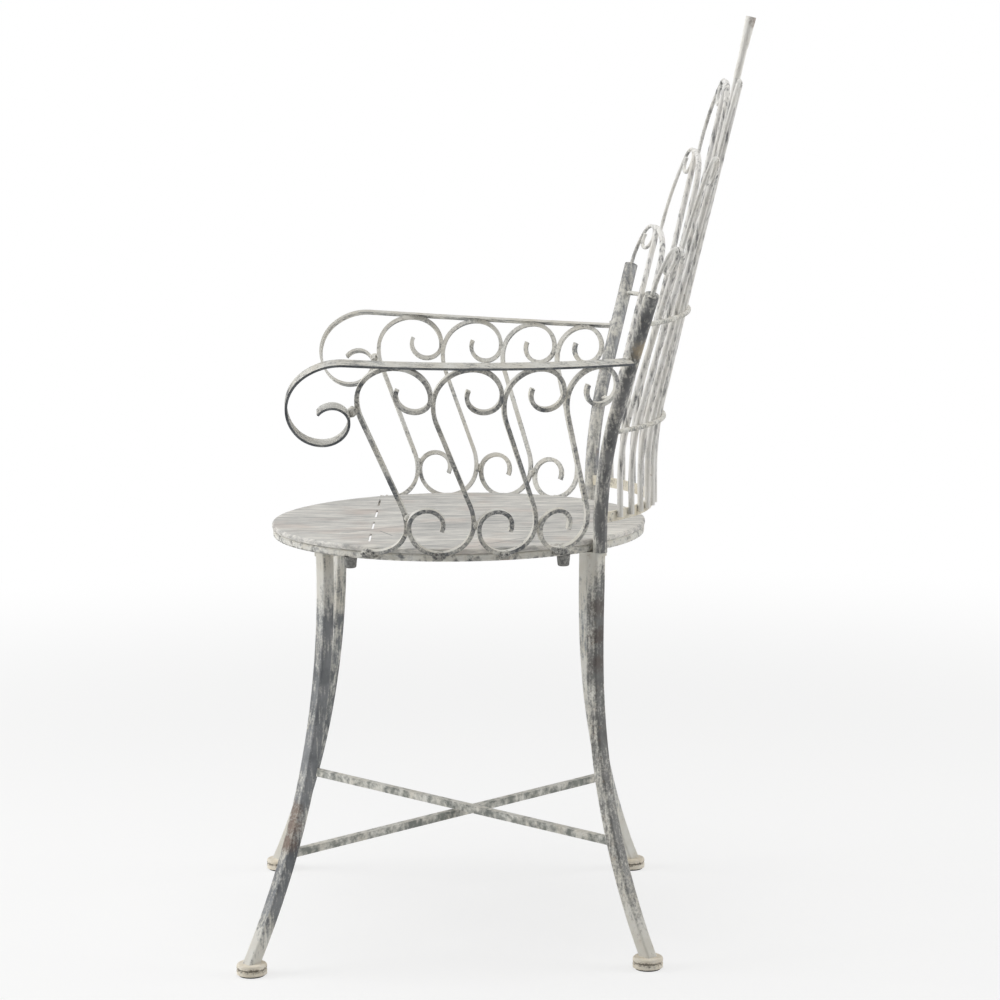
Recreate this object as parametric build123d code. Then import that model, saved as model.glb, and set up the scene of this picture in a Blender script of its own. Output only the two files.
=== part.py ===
from build123d import *
import os
from math import asin, atan2, cos, degrees, radians, sin, sqrt, tan

# A wrought iron garden armchair with a round seat and a fan of bars for its back.
# Millimetres, +Z up. The sitter faces -Y, and the sitter's left is +X.

# Round seat: a sheet with a thick lip, lying on a flat hoop
seat_height = 450.0
seat_radius = 204.0
seat_sheet = 2.0
lip_height = 6.0
lip_width = 9.0
lip_round = 2.0
hoop_height = 8.0
hoop_width = 14.0
hoop_inset = 1.0
hoop_round = 2.0

# Row of drain slots across the front of the seat
slot_count = 4
slot_length = 50.0
slot_width = 2.5
slot_pitch = 84.0
slot_row_reach = 92.0

# Studs under the seat lip and the cap nuts that hold the hoop
stud_radius = 2.5
stud_clearance = 0.2
stud_angle = 34.5
nut_height = 12.0
nut_top_radius = 7.2
nut_end_radius = 6.0
nut_round = 2.0
nut_bore_depth = 8.0

# Legs: tapered square tubes that curve out to the feet
front_leg_angle = 46.5
rear_leg_angle = 45.0
leg_top_width = 14.5
leg_foot_width = 13.8
leg_corner = 2.5
leg_wall = 1.6
leg_collar_height = 4.0
leg_collar_lip = 1.5
leg_head_bend = 3000.0
front_waist_height = 410.0
front_waist_radius = 192.5
front_foot_reach = 302.0
rear_waist_height = 315.0
rear_waist_radius = 204.0
rear_foot_reach = 278.0
leg_sections = 7

# Feet and the pads under them
foot_radius = 16.0
foot_height = 13.0
foot_round = 2.5
foot_groove = 1.2
glide_height = 2.0
glide_radius = 13.5

# Crossed stretchers, one lying on the other
stretcher_size = 8.0
stretcher_height = 120.0

# Back posts: round tubes standing outside the seat lip
post_radius = 7.5
post_wall = 1.5
post_gap = 0.3
post_bend_height = 525.0
post_bend_share = 0.85
post_top_height = 710.0
post_top_half_width = 231.5
post_top_reach = 200.0
cap_height = 1.5
cap_spigot = 6.0
cap_clearance = 0.1

# Back bars: they rise from a band and fan out and back above a bend
bars_each_side = 6
bar_end_gap = 1.35
bar_radius = 3.25
bar_stand_off = 10.3
bar_bend_height = 545.0
bar_bend_share = 0.55
fan_crown_reach = 253.0
band_height = 11.0
band_thickness = 3.0
band_bottom = 466.0
band_overlap = 4.0
weld_sink = 0.6

# Two rods that pass behind the bars
rod_radius = 2.5
middle_rod_height = 564.0
upper_rod_height = 680.0

# Crooks: wires that rise in an arc and close in a ring
wire_radius = 2.1
ring_radius = 14.0
ring_gap = 0.4
crown_heights = (758.0, 847.0, 925.0)
shoulder_radius = 52.0
shoulder_landing = 50.0
crook_foot_share = 0.67

# Spire on the middle bar
spire_rod_top = 925.0
spire_stem_radius = 3.9
spire_stem_rise = 33.0
spire_step = 0.5
spire_rise = 67.0
spire_flare = 5.6
spire_bore_radius = 4.0
spire_bore_depth = 18.0

# Arm rails: flat bars that end in a volute at the front
rail_width = 12.0
rail_thickness = 2.6
rail_tilt = 15.0
rail_rear_height = 642.0
rail_wrap_angle = -8.0
rail_sink = 2.4
rail_middle_half_width = 290.5
rail_middle_height = 646.5
rail_front_half_width = 309.5
rail_front_reach = 106.5
rail_front_height = 652.5
volute_radii = (58.0, 46.0, 44.5, 34.0, 27.0, 25.0)
volute_turn = 45.0
volute_eye_radius = 17.0
volute_eye_turn = 150.0

# Scrolls between the seat and the arm rail
scrolls_each_side = 4
scroll_bar = 4.5
scroll_gap = 0.5
scroll_rear_width = 62.0
scroll_width_growth = 5.5
scroll_front_share = 0.56
scroll_low_share = 0.97
scroll_rear_station = 39.0
scroll_rear_angle = 30.5
scroll_foot_share = 0.97
scroll_offset = 8.5
scroll_flank_radius = 60.0
scroll_curl_radius = 17.5
scroll_curl_turn = 200.0
scroll_stub_turn = 98.0
scroll_rim_gap = 5.2
scroll_sink = 0.5

# Clips on the hoop that the scrolls stand on
clip_width = 9.0
clip_edge = 1.0
clip_gap = 0.05

# Worked out from the sizes above
lip_bottom = seat_height - lip_height
hoop_bottom = lip_bottom - hoop_height
hoop_radius = seat_radius - hoop_inset
post_circle = seat_radius + post_radius + post_gap
bar_circle = seat_radius + bar_stand_off
bar_foot = band_bottom + band_overlap
bar_steps = bars_each_side + bar_end_gap
scroll_circle = seat_radius + scroll_rim_gap + scroll_bar / 2
fan_bow = fan_crown_reach - post_top_reach
fan_radius = (post_top_half_width**2 + fan_bow**2) / (2 * fan_bow)
fan_half_angle = degrees(asin(post_top_half_width / fan_radius))
front_shape = (front_waist_height, front_waist_radius, front_foot_reach)
rear_shape = (rear_waist_height, rear_waist_radius, rear_foot_reach)
up = Vector(0, 0, 1)


def polar(radius, angle, height):
    """Point at an angle from +X, on a circle round the seat's axis."""
    return Vector(radius * cos(radians(angle)), radius * sin(radians(angle)), height)


def ring_edges(part, radius):
    """Round edges of one radius."""
    round_edges = part.edges().filter_by(GeomType.CIRCLE)
    return [edge for edge in round_edges if abs(edge.radius - radius) < seat_sheet / 100]


def turned(*outline):
    """Solid turned round the Z axis from points given as radius and height."""
    return revolve(Plane.XZ * make_face(Polyline(*outline, close=True)), Axis.Z)


def largest(part):
    """Main solid of a part that was cut."""
    return max(part.solids(), key=lambda solid: solid.volume)


def arc_run(start, heading, side, turns):
    """Edges of tangent arcs that bend towards side, given as radius and degrees."""
    edges = []
    for radius, turn in turns:
        half = radians(turn) / 2
        centre = start + side * radius
        middle = centre + (heading * sin(half) - side * cos(half)) * radius
        end = centre + (heading * sin(2 * half) - side * cos(2 * half)) * radius
        edges.append(ThreePointArc(start, middle, end))
        ahead = heading * cos(2 * half) + side * sin(2 * half)
        side = side * cos(2 * half) - heading * sin(2 * half)
        start = end
        heading = ahead
    return edges


def round_rod(path, radius):
    """Round rod along a path."""
    return sweep(Plane(origin=path @ 0, z_dir=path % 0) * Circle(radius), path=path)


def bent_line(start, bend, end, share):
    """Two straight runs and the bend between them, which takes up a share of the shorter run."""
    room = share * min((bend - start).length, (end - bend).length)
    turn = radians((bend - start).get_angle(end - bend))
    return FilletPolyline(start, bend, end, radius=room / tan(turn / 2))


def height_point(path, height):
    """Point of a rising path at a height, found by halving."""
    low, high = 0.0, 1.0
    for _ in range(40):
        middle = (low + high) / 2
        if (path @ middle).Z < height:
            low = middle
        else:
            high = middle
    return path @ low


# Seat panel, hoop, studs and nuts
def seat_panel():
    """Sheet with a thick lip and a row of drain slots."""
    inner = seat_radius - lip_width
    under = seat_height - seat_sheet
    panel = turned(
        (0, seat_height), (seat_radius, seat_height), (seat_radius, lip_bottom),
        (inner, lip_bottom), (inner, under), (0, under),
    )
    panel = fillet(ring_edges(panel, seat_radius), lip_round)
    slot = extrude(SlotOverall(slot_length, slot_width), seat_sheet)
    row = GridLocations(slot_pitch, 0, slot_count, 1)
    return panel - Pos(0, -slot_row_reach, under) * row * slot


def stud_places():
    """Angles of the four studs, one beside each leg."""
    return [stud_angle, 180 - stud_angle, 180 + stud_angle, -stud_angle]


def seat_hoop():
    """Flat hoop under the lip, drilled for the studs."""
    inner = hoop_radius - hoop_width
    hoop = turned(
        (inner, hoop_bottom), (hoop_radius, hoop_bottom),
        (hoop_radius, lip_bottom), (inner, lip_bottom),
    )
    hoop = fillet(ring_edges(hoop, hoop_radius), hoop_round)
    for angle in stud_places():
        centre = polar(hoop_radius - hoop_width / 2, angle, hoop_bottom)
        hoop -= Pos(centre) * extrude(Circle(stud_radius + stud_clearance), hoop_height)
    return hoop


def at_studs(solid):
    """Copies of a solid at the four studs, at the hoop's underside."""
    places = [polar(hoop_radius - hoop_width / 2, angle, hoop_bottom) for angle in stud_places()]
    return Compound(children=[Pos(place) * solid for place in places])


def seat_studs():
    """Studs from the seat lip down into the nuts."""
    return at_studs(Pos(0, 0, -nut_bore_depth) * extrude(Circle(stud_radius), nut_bore_depth + hoop_height))


def seat_nuts():
    """Tapered cap nuts with a blind bore."""
    nut = turned((0, 0), (nut_top_radius, 0), (nut_end_radius, -nut_height), (0, -nut_height))
    nut = fillet(ring_edges(nut, nut_end_radius), nut_round)
    bore = Pos(0, 0, -nut_bore_depth) * extrude(Circle(stud_radius + stud_clearance), nut_bore_depth)
    return at_studs(nut - bore)


# Legs, feet and stretchers
def leg_radius(height, shape):
    """Distance of the leg's middle from the seat's axis, and its lean, on an arc each side of the waist."""
    waist_height, waist_radius, foot_reach = shape
    offset = height - waist_height
    bend = leg_head_bend
    if offset < 0:
        drop = waist_height - foot_height
        spread = foot_reach - waist_radius
        bend = (drop**2 + spread**2) / (2 * spread)
    return waist_radius + bend - sqrt(bend**2 - offset**2), asin(offset / bend)


def leg_form(angle, shape, inset):
    """Tapered leg, drawn in by an inset all round."""
    outward = polar(1, angle, 0)
    faces = []
    for step in range(leg_sections):
        share = step / (leg_sections - 1)
        height = foot_height + (hoop_bottom - foot_height) * share
        radius, lean = leg_radius(height, shape)
        width = leg_foot_width + (leg_top_width - leg_foot_width) * share - 2 * inset
        section = RectangleRounded(width / cos(lean), width, leg_corner - inset)
        faces.append(Plane(origin=polar(radius, angle, height), x_dir=outward, z_dir=up) * section)
    return loft(faces)


def leg_collar(angle, shape):
    """Slightly wider collar at the top of a leg."""
    radius, _ = leg_radius(hoop_bottom, shape)
    width = leg_top_width + 2 * leg_collar_lip
    plane = Plane(origin=polar(radius, angle, hoop_bottom), x_dir=polar(1, angle, 0), z_dir=-up)
    return extrude(plane * RectangleRounded(width, width, leg_corner + leg_collar_lip), leg_collar_height)


def leg_outer(angle, shape):
    """Outside of a leg with its collar, as one solid."""
    return leg_form(angle, shape, 0) + leg_collar(angle, shape)


def foot():
    """Turned foot with a groove round it."""
    middle = (foot_height + glide_height) / 2
    body = turned(
        (0, glide_height), (foot_radius, glide_height), (foot_radius, middle - foot_groove),
        (foot_radius - foot_groove, middle), (foot_radius, middle + foot_groove),
        (foot_radius, foot_height), (0, foot_height),
    )
    rim = [edge for edge in ring_edges(body, foot_radius) if edge.center().Z > foot_height - foot_groove]
    return fillet(rim, foot_round)


def stretcher(front_angle, rear_angle, height):
    """Square bar from a front leg to the rear leg across the chair, cut to fit both."""
    front, _ = leg_radius(height, front_shape)
    rear, _ = leg_radius(height, rear_shape)
    start = polar(front, front_angle, height)
    end = polar(rear, rear_angle, height)
    plane = Plane(origin=start, x_dir=up, z_dir=end - start)
    bar = extrude(plane * Rectangle(stretcher_size, stretcher_size), (end - start).length)
    bar -= leg_outer(front_angle, front_shape)
    bar -= leg_outer(rear_angle, rear_shape)
    return largest(bar)


# Back posts
def post_path():
    """Middle line of the left post: upright, then leaning out and back."""
    foot_point = polar(post_circle, rear_leg_angle, hoop_bottom)
    bend_point = polar(post_circle, rear_leg_angle, post_bend_height)
    top_point = Vector(post_top_half_width, post_top_reach, post_top_height)
    return bent_line(foot_point, bend_point, top_point, post_bend_share)


def post_cap(path):
    """Flat cap with a spigot inside the tube."""
    top = Plane(origin=path @ 1, z_dir=path % 1)
    disc = extrude(top * Circle(post_radius), cap_height)
    return disc + extrude(top * Circle(post_radius - post_wall - cap_clearance), -cap_spigot)


# Fan of bars
def bar_line(step):
    """Foot, bend and upward direction of a bar, counted from the middle of the back."""
    share = step / bar_steps
    place = polar(bar_circle, 90 - rear_leg_angle * share, 0)
    fan_centre = fan_crown_reach - fan_radius
    over = polar(fan_radius, 90 - fan_half_angle * share, post_top_height) + Vector(0, fan_centre, 0)
    bend = place + up * bar_bend_height
    foot_point = place + up * bar_foot
    return foot_point, bend, (over - bend).normalized()


def on_line(step, height):
    """Point at a height on the leaning run of a bar."""
    _, bend, direction = bar_line(step)
    return bend + direction * ((height - bend.Z) / direction.Z)


def bar_path(step, top_point):
    """Middle line of a bar up to a point of its leaning run."""
    foot_point, bend, _ = bar_line(step)
    return bent_line(foot_point, bend, top_point, bar_bend_share)


def crook_frame(step, foot_point, crown_height):
    """Centre of the ring beside a bar, with the inward and upward directions of its plane."""
    _, bend, rise = bar_line(step)
    square = bend + rise * (foot_point - bend).dot(rise)
    inward = (square - foot_point).normalized()
    offset = bar_radius + wire_radius + ring_radius - weld_sink
    base = square - inward * offset
    lift = (crown_height - base.Z) / rise.Z - ring_radius - wire_radius
    return base + rise * lift, inward, rise


def crook(foot_point, centre, inward, rise):
    """Wire that rises from its foot in one arc and closes in a ring."""
    across = (centre - foot_point).dot(inward)
    above = (centre - foot_point).dot(rise)
    leg_bend = (across**2 + above**2 - ring_radius**2) / (2 * (across - ring_radius))
    leg_turn = degrees(atan2(above, leg_bend - across))
    close_radius = ring_radius - wire_radius - ring_gap / 2
    turns = [(leg_bend, leg_turn), (ring_radius, 180), (close_radius, 180)]
    return round_rod(Wire(arc_run(foot_point, rise, inward, turns)), wire_radius)


def shoulder_path(step, landing):
    """Middle line of a bar whose top bends over to a landing point, and its bent end."""
    foot_point, bend, rise = bar_line(step)
    square = bend + rise * (landing - bend).dot(rise)
    reach = (landing - square).length
    start = square - rise * sqrt(2 * reach * shoulder_radius - reach**2)
    bent_end = TangentArc(start, landing, tangent=rise)
    straight = bent_line(foot_point, bend, start, bar_bend_share)
    return Wire(straight.edges() + bent_end.edges()), bent_end


def back_side(cap, cap_top):
    """Left half of the back: crooks, ring bars and shoulder bars, each cut to fit."""
    crooks, ring_bars, shoulder_bars = [], [], []
    foot_point, carrier = cap_top, cap
    for level, crown_height in enumerate(crown_heights):
        ring_step = bars_each_side - 2 * level
        centre, inward, rise = crook_frame(ring_step, foot_point, crown_height)
        wire = largest(crook(foot_point, centre, inward, rise) - carrier)
        aim = radians(shoulder_landing)
        landing = centre + (inward * cos(aim) + rise * sin(aim)) * ring_radius
        path, bent_end = shoulder_path(ring_step - 1, landing)
        ring_face = Plane(origin=centre, x_dir=inward, z_dir=inward.cross(rise))
        ring_outer = ring_radius + wire_radius - weld_sink
        ring_disc = extrude(ring_face * Circle(ring_outer), 2 * bar_radius, both=True)
        shoulder = largest(round_rod(path, bar_radius) - ring_disc - wire)
        _, bend, _ = bar_line(ring_step)
        top_point = bend + rise * ((landing - bend).dot(rise) - wire_radius)
        ring_bar = largest(round_rod(bar_path(ring_step, top_point), bar_radius) - shoulder)
        crooks.append(largest(wire - ring_bar))
        ring_bars.append(ring_bar)
        shoulder_bars.append(shoulder)
        foot_point, carrier = bent_end @ crook_foot_share, shoulder
    return crooks, ring_bars, shoulder_bars


def back_band():
    """Flat band inside the feet of the bars, from post to post."""
    outer = bar_circle - bar_radius + weld_sink
    middle = outer - band_thickness / 2
    path = ThreePointArc(
        polar(middle, rear_leg_angle, band_bottom), polar(middle, 90, band_bottom),
        polar(middle, 180 - rear_leg_angle, band_bottom),
    )
    section = Plane(origin=path @ 0, x_dir=polar(1, rear_leg_angle, 0), z_dir=path % 0)
    return sweep(section * Pos(0, -band_height / 2) * Rectangle(band_thickness, band_height), path=path)


def back_rod(height, left_path):
    """Rod behind the bars at one height, on tangent arcs that touch each bar."""
    reach = bar_radius + rod_radius - weld_sink
    points = []
    for step in range(bars_each_side + 1):
        bar = bar_path(step, on_line(step, post_top_height))
        outward = polar(1, 90 - fan_half_angle * step / bar_steps, 0)
        points.append(height_point(bar, height) + outward * reach)
    points.append(height_point(left_path, height))
    edges = []
    heading = Vector(1, 0, 0)
    for start, end in zip(points, points[1:]):
        edge = TangentArc(start, end, tangent=heading)
        heading = edge % 1
        edges.append(edge)
    half = round_rod(Wire(edges), rod_radius)
    return half + mirror(half, about=Plane.YZ)


# Arm rails and scrolls
def rail_line(left_path):
    """Middle line of the left arm rail, from the post to the volute."""
    contact = post_radius + rail_width * cos(radians(rail_tilt)) / 2 - rail_sink
    rear = height_point(left_path, rail_rear_height) + polar(contact, rail_wrap_angle, 0)
    middle = Vector(rail_middle_half_width, 0, rail_middle_height)
    front = Vector(rail_front_half_width, -rail_front_reach, rail_front_height)
    return ThreePointArc(rear, middle, front)


def rail_axes(line, share):
    """Outward and upward directions of the rail's tilted section at a share of its length."""
    spoke = (line @ share - line.arc_center).normalized()
    normal = (line % share).cross(spoke).normalized()
    tilt = radians(rail_tilt)
    return spoke * cos(tilt) - normal * sin(tilt), spoke * sin(tilt) + normal * cos(tilt)


def arm_rail(line):
    """Flat rail with its volute, in one piece."""
    flat = Rectangle(rail_width, rail_thickness)
    wide, _ = rail_axes(line, 0)
    rail = sweep(Plane(origin=line @ 0, x_dir=wide, z_dir=line % 0) * flat, path=line)
    wide, lift = rail_axes(line, 1)
    turns = [(radius, volute_turn) for radius in volute_radii] + [(volute_eye_radius, volute_eye_turn)]
    curl = Wire(arc_run(line @ 1, line % 1, -lift, turns))
    return rail + sweep(Plane(origin=line @ 1, x_dir=wide, z_dir=line % 1) * flat, path=curl)


def scroll_place(index):
    """Width of a scroll counted from the rear, its place along the rail and its foot's angle."""
    width = scroll_rear_width + scroll_width_growth * index
    ahead = (scroll_rear_width + width) / 2 * index
    angle = scroll_rear_angle - degrees(ahead * scroll_foot_share / scroll_circle)
    return width, scroll_rear_station + ahead, angle


def scroll(index, line):
    """Scroll bar in its own leaning plane, from a clip on the hoop to the rail."""
    width, station, angle = scroll_place(index)
    share = station / line.length
    low = polar(scroll_circle, angle, lip_bottom + scroll_bar / 2 - scroll_sink)
    _, lift = rail_axes(line, share)
    high = line @ share - lift * ((rail_thickness + scroll_bar) / 2 - scroll_sink)
    span = high - low
    rearward = (polar(1, angle + 90, 0) - line % share).normalized()
    normal = rearward.cross(span).normalized()
    skew = asin(2 * scroll_offset / span.length)
    along = span.normalized()
    level = along.cross(normal)
    rise = along * cos(skew) - level * sin(skew)
    rear = level * cos(skew) + along * sin(skew)

    crest_width = width - scroll_bar - scroll_gap
    long_radius = crest_width * scroll_front_share
    short_radius = crest_width - long_radius
    low_radius = crest_width * scroll_low_share / 2
    high_hip = high - rise * long_radius + rear * (scroll_flank_radius - long_radius)
    low_hip = low + rise * low_radius - rear * (scroll_flank_radius - low_radius)
    centre = (low_hip + high_hip) / 2
    across = (high_hip - centre).dot(rear)
    above = (high_hip - centre).dot(rise)
    lean = asin(scroll_flank_radius / sqrt(above**2 + across**2)) - atan2(across, above)
    straight = (above - scroll_flank_radius * sin(lean)) / cos(lean)
    heading = rise * cos(lean) - rear * sin(lean)
    side = rear * cos(lean) + rise * sin(lean)
    flank = (scroll_flank_radius, degrees(lean))
    upper = [flank, (long_radius, 90), (short_radius, 90), (scroll_curl_radius, scroll_curl_turn)]
    curl = [flank, (low_radius, 180), (scroll_curl_radius, scroll_curl_turn)]
    stub = [flank, (low_radius, scroll_stub_turn)]
    lower = stub if index == scrolls_each_side - 1 else curl
    top_start = centre + heading * straight
    low_start = centre - heading * straight
    upper_edges = arc_run(top_start, heading, side, upper)
    lower_edges = arc_run(low_start, -heading, -side, lower)
    path = Wire(lower_edges[::-1] + [Line(low_start, top_start)] + upper_edges)
    section = Plane(origin=path @ 0, x_dir=normal, z_dir=path % 0)
    return sweep(section * Rectangle(scroll_bar, scroll_bar), path=path)


def rim_clips():
    """Small blocks on the hoop's outer face, one under each scroll."""
    depth = hoop_inset + scroll_rim_gap + scroll_bar + clip_edge
    height = hoop_height - hoop_round - clip_edge
    block = Box(depth, clip_width, height, align=(Align.MIN, Align.CENTER, Align.MAX))
    clips = []
    for index in range(scrolls_each_side):
        _, _, angle = scroll_place(index)
        clips.append(Pos(polar(hoop_radius + clip_gap, angle, lip_bottom)) * Rot(0, 0, angle) * block)
    return clips


# Build every piece on the left, and mirror what comes in pairs
def build():
    """All the pieces by name, with the seat's axis at X = Y = 0."""
    parts = {
        "seat_panel": seat_panel(),
        "seat_hoop": seat_hoop(),
        "seat_studs": seat_studs(),
        "seat_cap_nuts": seat_nuts(),
    }
    pairs = {}

    glides = []
    for end, angle, shape in (
        ("front", -front_leg_angle, front_shape),
        ("rear", rear_leg_angle, rear_shape),
    ):
        pairs[f"leg_{end}"] = leg_outer(angle, shape) - leg_form(angle, shape, leg_wall)
        foot_reach, _ = leg_radius(foot_height, shape)
        place = Pos(polar(foot_reach, angle, 0))
        pairs[f"foot_{end}"] = place * foot()
        glide = place * extrude(Circle(glide_radius), glide_height)
        glides += [glide, mirror(glide, about=Plane.YZ)]
    parts["foot_glides"] = Compound(children=glides)
    right_front = 180 + front_leg_angle
    right_rear = 180 - rear_leg_angle
    upper_height = stretcher_height + stretcher_size
    parts["stretcher_lower"] = stretcher(-front_leg_angle, right_rear, stretcher_height)
    parts["stretcher_upper"] = stretcher(right_front, rear_leg_angle, upper_height)

    left_path = post_path()
    post_outer = round_rod(left_path, post_radius)
    posts_outer = [post_outer, mirror(post_outer, about=Plane.YZ)]
    pairs["back_post"] = post_outer - round_rod(left_path, post_radius - post_wall)
    cap = post_cap(left_path)
    pairs["post_cap"] = cap

    band = back_band() - posts_outer
    cap_top = left_path @ 1 + (left_path % 1) * (cap_height - weld_sink)
    crooks, ring_bars, shoulder_bars = back_side(cap, cap_top)
    middle_bar = round_rod(bar_path(0, on_line(0, spire_rod_top)), bar_radius)
    side_bars = ring_bars + shoulder_bars
    all_bars = side_bars + [mirror(bar, about=Plane.YZ) for bar in side_bars] + [middle_bar]
    parts["back_band"] = largest(band)
    parts["back_rod_middle"] = largest(back_rod(middle_rod_height, left_path) - all_bars - posts_outer)
    parts["back_rod_upper"] = largest(back_rod(upper_rod_height, left_path) - all_bars - posts_outer)
    parts["back_bar_centre"] = largest(middle_bar - band)
    for level, tier in enumerate(("low", "middle", "high")):
        pairs[f"back_crook_{tier}"] = crooks[level]
        pairs[f"back_ring_bar_{tier}"] = largest(ring_bars[level] - band)
        pairs[f"back_shoulder_bar_{tier}"] = largest(shoulder_bars[level] - band)

    spire_top = Plane(origin=on_line(0, spire_rod_top), z_dir=bar_line(0)[2])
    spire = turned(
        (0, 0), (spire_stem_radius, 0), (spire_stem_radius, spire_stem_rise),
        (spire_stem_radius + spire_step, spire_stem_rise), (spire_flare, spire_rise), (0, spire_rise),
    )
    bore = Pos(0, 0, spire_rise - spire_bore_depth) * extrude(Circle(spire_bore_radius), spire_bore_depth)
    parts["back_spire"] = spire_top * (spire - bore)

    line = rail_line(left_path)
    rail = arm_rail(line)
    clips = rim_clips()
    pairs["arm_rail"] = largest(rail - post_outer)
    for index in range(scrolls_each_side):
        bar = scroll(index, line) - rail - clips[index] - post_outer
        pairs[f"arm_scroll_{scrolls_each_side - index}"] = largest(bar)
    pairs["rim_clips"] = Compound(children=clips)

    for name, left in pairs.items():
        parts[f"{name}_left"] = left
        parts[f"{name}_right"] = mirror(left, about=Plane.YZ)
    return parts


# The origin is on the floor, under the middle of the whole chair
chair = build()
box = Compound(children=[Compound(children=part.solids()) for part in chair.values()]).bounding_box()
to_origin = Pos(-box.center().X, -box.center().Y, -box.min.Z)
os.makedirs("parts", exist_ok=True)
for part_name, part in chair.items():
    placed = [to_origin * solid for solid in part.solids()]
    export_step(Compound(children=placed), f"parts/{part_name}.step")
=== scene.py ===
"""Dress the garden armchair.

Limewash rubbed back over forged iron, a brushed seat sheet and soft studio light.
"""

import logging
import math
from dataclasses import dataclass
from enum import Enum

import bmesh
import bpy
from mathutils import Matrix, Vector, noise
from mathutils.bvhtree import BVHTree


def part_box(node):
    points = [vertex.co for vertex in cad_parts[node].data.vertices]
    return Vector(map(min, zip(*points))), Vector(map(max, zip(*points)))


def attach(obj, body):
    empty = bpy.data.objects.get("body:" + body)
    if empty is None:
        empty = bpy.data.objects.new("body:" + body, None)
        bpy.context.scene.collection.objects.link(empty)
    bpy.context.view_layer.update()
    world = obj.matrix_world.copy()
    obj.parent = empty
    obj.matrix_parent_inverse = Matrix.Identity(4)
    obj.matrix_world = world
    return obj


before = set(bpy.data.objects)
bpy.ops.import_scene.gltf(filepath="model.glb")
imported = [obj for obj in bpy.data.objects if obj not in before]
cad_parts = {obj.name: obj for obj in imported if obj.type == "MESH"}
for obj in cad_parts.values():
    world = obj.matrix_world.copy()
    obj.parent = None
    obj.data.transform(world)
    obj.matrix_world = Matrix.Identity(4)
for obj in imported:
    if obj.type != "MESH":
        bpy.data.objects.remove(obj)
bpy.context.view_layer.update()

log = logging.getLogger("garden_armchair")
MM = 0.001
CHAIR_TOP_MM = 1000.0
# Blender's noise varies about this level.
NOISE_MIDDLE = 0.5
# How many corners next to a height stand for the section of a slim piece there.
SECTION_CORNERS = 24
UP = Vector((0.0, 0.0, 1.0))
WHITE = (1.0, 1.0, 1.0, 1.0)
Socket = bpy.types.NodeSocket
Tree = bpy.types.NodeTree


class Side(Enum):
    """The two sides of the chair, as its sitter sees them."""

    LEFT = "left"
    RIGHT = "right"


class Brush(Enum):
    """Which way the brush was drawn, as the squeeze of the pattern along X, Y and Z."""

    UPRIGHT = (1.0, 1.0, 0.14)
    LONG_UPRIGHT = (1.0, 1.0, 0.05)
    FRONT_TO_BACK = (1.0, 0.15, 1.0)
    LOOSE_SWEEP = (1.0, 0.14, 1.0)
    COMBED = (1.0, 0.11, 1.0)
    ALL_WAYS = (1.0, 1.0, 1.0)


class Tier(Enum):
    """The three steps of the back's fan, from the posts to the middle."""

    LOW = "low"
    MIDDLE = "middle"
    HIGH = "high"


def linear(code: str) -> tuple[float, float, float, float]:
    """Turn an sRGB hex colour into linear light, by the curve of the sRGB standard.

    Args:
        code: A colour such as "#d6d3c9".

    Returns:
        Red, green and blue in linear light, and an alpha of 1.
    """
    parts = [int(code[start:start + 2], 16) / 255 for start in (1, 3, 5)]
    light = [part / 12.92 if part <= 0.04045 else ((part + 0.055) / 1.055) ** 2.4 for part in parts]
    return light[0], light[1], light[2], 1.0


def add_node(tree: Tree, kind: str, links: dict | None = None, **settings: object) -> bpy.types.ShaderNode:
    """Add one shader node with its settings, its socket values and its links.

    Args:
        tree: The node tree that takes the node.
        kind: Blender's name for the node.
        links: Socket name or number to a value, or to the socket that feeds it.
        settings: Fields of the node itself.

    Returns:
        The new node.
    """
    node = tree.nodes.new(kind)
    for name, value in settings.items():
        setattr(node, name, value)
    for name, value in (links or {}).items():
        if isinstance(value, Socket):
            tree.links.new(value, node.inputs[name])
        else:
            node.inputs[name].default_value = value
    return node


def blank_material(name: str) -> bpy.types.Material:
    """Make an empty node material.

    Args:
        name: The material's name.

    Returns:
        The material, with no nodes in it.
    """
    material = bpy.data.materials.new(name)
    material.use_nodes = True
    material.node_tree.nodes.clear()
    return material


def per_metre(size_mm: float) -> float:
    """Turn a feature's real size into a pattern scale in one over metres."""
    return 1.0 / (size_mm * MM)


def middle_at(node: str, height_mm: float) -> Vector:
    """Find the middle of a slim upright piece at a height.

    Args:
        node: The CAD node.
        height_mm: The height above the floor.

    Returns:
        The middle, in the row frame.
    """
    corners = [vertex.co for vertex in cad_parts[node].data.vertices]
    nearest = sorted(corners, key=lambda corner: abs(corner.z - height_mm * MM))[:SECTION_CORNERS]
    return sum(nearest, Vector()) / len(nearest)


def paint(nodes: list[str], material: bpy.types.Material) -> None:
    """Give CAD nodes one material.

    Args:
        nodes: Names of the nodes.
        material: The material that they get.
    """
    for name in nodes:
        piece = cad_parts[name]
        piece.data.materials.clear()
        piece.data.materials.append(material)
        log.info("%s wears %s", name, material.name)


@dataclass(frozen=True)
class Stain:
    """A local stain: where it is, how far it reaches in mm, its colour and how strong it is.

    It is whole out to its core and gone at its fringe, both as shares of its reach.
    """

    place: tuple[float, float, float]
    reach_mm: float
    colour: str
    strength: float = 0.7
    core: float = 0.7
    fringe: float = 1.35


@dataclass(frozen=True)
class StainRow:
    """Stains one above the other on a slim upright piece, set off from its middle line in mm."""

    node: str
    heights_mm: tuple[float, ...]
    off_mm: tuple[float, float, float]
    reach_mm: float
    colour: str
    strength: float = 0.7

    def marks(self) -> tuple[Stain, ...]:
        """Place the stains on the piece."""
        places = [middle_at(self.node, height) / MM + Vector(self.off_mm) for height in self.heights_mm]
        return tuple(Stain(tuple(place), self.reach_mm, self.colour, self.strength) for place in places)


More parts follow.
